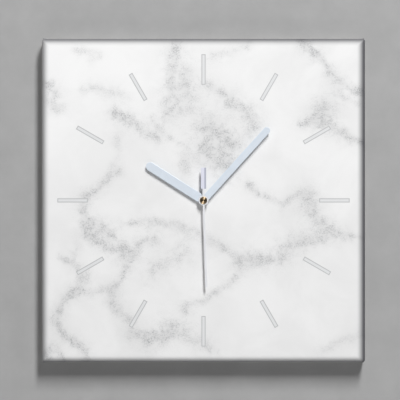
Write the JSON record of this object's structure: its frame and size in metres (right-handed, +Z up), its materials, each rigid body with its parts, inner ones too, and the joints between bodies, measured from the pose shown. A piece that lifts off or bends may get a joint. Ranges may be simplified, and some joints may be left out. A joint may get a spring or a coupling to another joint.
{
  "type": "wall clock",
  "caption": "Square wall clock with a marble-print canvas stretched over a wooden frame, baton hands and a quartz movement on the back.",
  "frame": {"origin": "middle notch of the sawtooth hanger, in the plane of the wall; the dial axis is 121.5 mm below it", "axes": "+Z up on the wall, +Y into the wall so that the face looks towards -Y, +X to the reader's right"},
  "size_m": [0.3, 0.0333, 0.3],
  "materials": {
    "pine": "planed, unfinished",
    "fibreboard": "smooth medium-density board",
    "printed_canvas": "primed woven canvas with a printed grey-white marble pattern and hour marks",
    "zinc_steel": "zinc-plated",
    "brass": "turned",
    "rubber": "soft black",
    "case_plastic": "fine moulded texture",
    "gear_plastic": "natural acetal",
    "knob_plastic": "natural acetal",
    "arbor_steel": "ground",
    "magnet": "sintered",
    "soft_iron": "stamped",
    "bobbin_plastic": "moulded",
    "copper_wire": "enamelled copper, wound",
    "circuit_laminate": "green solder mask",
    "crystal_can": "drawn can",
    "chip_resin": "domed resin",
    "contact_steel": "nickel-plated spring sheet",
    "cell_can": null,
    "cell_sleeve": "plain shrink sleeve",
    "hand_enamel": "bluish-white enamel on aluminium sheet",
    "second_enamel": "white enamel on aluminium sheet"
  },
  "bodies": {
    "clock_frame": {"stretcher_bar_top": "pine", "stretcher_bar_right": "pine", "stretcher_bar_bottom": "pine", "stretcher_bar_left": "pine", "backing_board": "fibreboard", "canvas_wrap": "printed_canvas", "staples": "zinc_steel", "corner_fasteners": "zinc_steel", "sawtooth_hanger": "zinc_steel", "hanger_nails": "zinc_steel", "threaded_bush": "brass", "hex_nut": "brass", "brass_washer": "brass", "rubber_washer": "rubber", "movement_front_case": "case_plastic", "movement_rear_cover": "case_plastic", "middle_plate": "bobbin_plastic", "stator": "soft_iron", "coil_core": "soft_iron", "coil_bobbin": "bobbin_plastic", "coil_winding": "copper_wire", "circuit_board": "circuit_laminate", "quartz_crystal": "crystal_can", "chip_blob": "chip_resin", "positive_contact": "contact_steel", "negative_contact": "contact_steel"},
    "hour_hand": {"hour_wheel": "gear_plastic", "hour_hand": "hand_enamel", "hour_hand_collet": "brass"},
    "minute_hand": {"minute_pipe": "brass", "minute_hand": "hand_enamel", "minute_hand_collet": "brass"},
    "minute_wheel": {"minute_wheel": "gear_plastic", "setting_knob": "knob_plastic"},
    "second_hand": {"second_arbor": "arbor_steel", "second_wheel": "gear_plastic", "second_hand": "second_enamel", "second_hand_cap": "brass"},
    "third_wheel": {"third_wheel": "gear_plastic"},
    "centre_wheel": {"centre_wheel": "gear_plastic"},
    "step_wheel": {"step_wheel": "gear_plastic"},
    "rotor": {"rotor_pinion": "gear_plastic", "rotor_magnet": "magnet"},
    "battery": {"battery_cell": "cell_can", "battery_sleeve": "cell_sleeve"}
  },
  "joints": [
    {"name": "minute_hand_turn", "type": "hinge", "parent": "clock_frame", "child": "minute_hand", "pos_m": [0, -0.01, -0.1215], "axis": [0, 1, 0], "continuous": true},
    {"name": "hour_hand_turn", "type": "hinge", "parent": "clock_frame", "child": "hour_hand", "pos_m": [0, -0.01, -0.1215], "axis": [0, 1, 0], "continuous": true},
    {"name": "minute_wheel_turn", "type": "hinge", "parent": "clock_frame", "child": "minute_wheel", "pos_m": [-0.00679, -0.01, -0.11471], "axis": [0, 1, 0], "continuous": true},
    {"name": "second_hand_turn", "type": "hinge", "parent": "clock_frame", "child": "second_hand", "pos_m": [0, -0.01, -0.1215], "axis": [0, 1, 0], "continuous": true},
    {"name": "third_wheel_turn", "type": "hinge", "parent": "clock_frame", "child": "third_wheel", "pos_m": [0.009, -0.01, -0.1215], "axis": [0, 1, 0], "continuous": true},
    {"name": "centre_wheel_turn", "type": "hinge", "parent": "clock_frame", "child": "centre_wheel", "pos_m": [0, -0.01, -0.1215], "axis": [0, 1, 0], "continuous": true},
    {"name": "step_wheel_turn", "type": "hinge", "parent": "clock_frame", "child": "step_wheel", "pos_m": [0.00236, -0.01, -0.11271], "axis": [0, 1, 0], "continuous": true},
    {"name": "rotor_turn", "type": "hinge", "parent": "clock_frame", "child": "rotor", "pos_m": [0.00807, -0.01, -0.10941], "axis": [0, 1, 0], "continuous": true},
    {"name": "battery_slide", "type": "slide", "parent": "clock_frame", "child": "battery", "axis": [0, 1, 0], "range_m": [0, 0.025]}
  ],
  "couplings": [
    {"joint": "hour_hand_turn", "follows": "minute_hand_turn", "ratio": 0.083333},
    {"joint": "minute_wheel_turn", "follows": "minute_hand_turn", "ratio": -0.33333},
    {"joint": "third_wheel_turn", "follows": "second_hand_turn", "ratio": -0.13333},
    {"joint": "centre_wheel_turn", "follows": "second_hand_turn", "ratio": 0.016667},
    {"joint": "step_wheel_turn", "follows": "second_hand_turn", "ratio": -6},
    {"joint": "rotor_turn", "follows": "second_hand_turn", "ratio": 30}
  ]
}
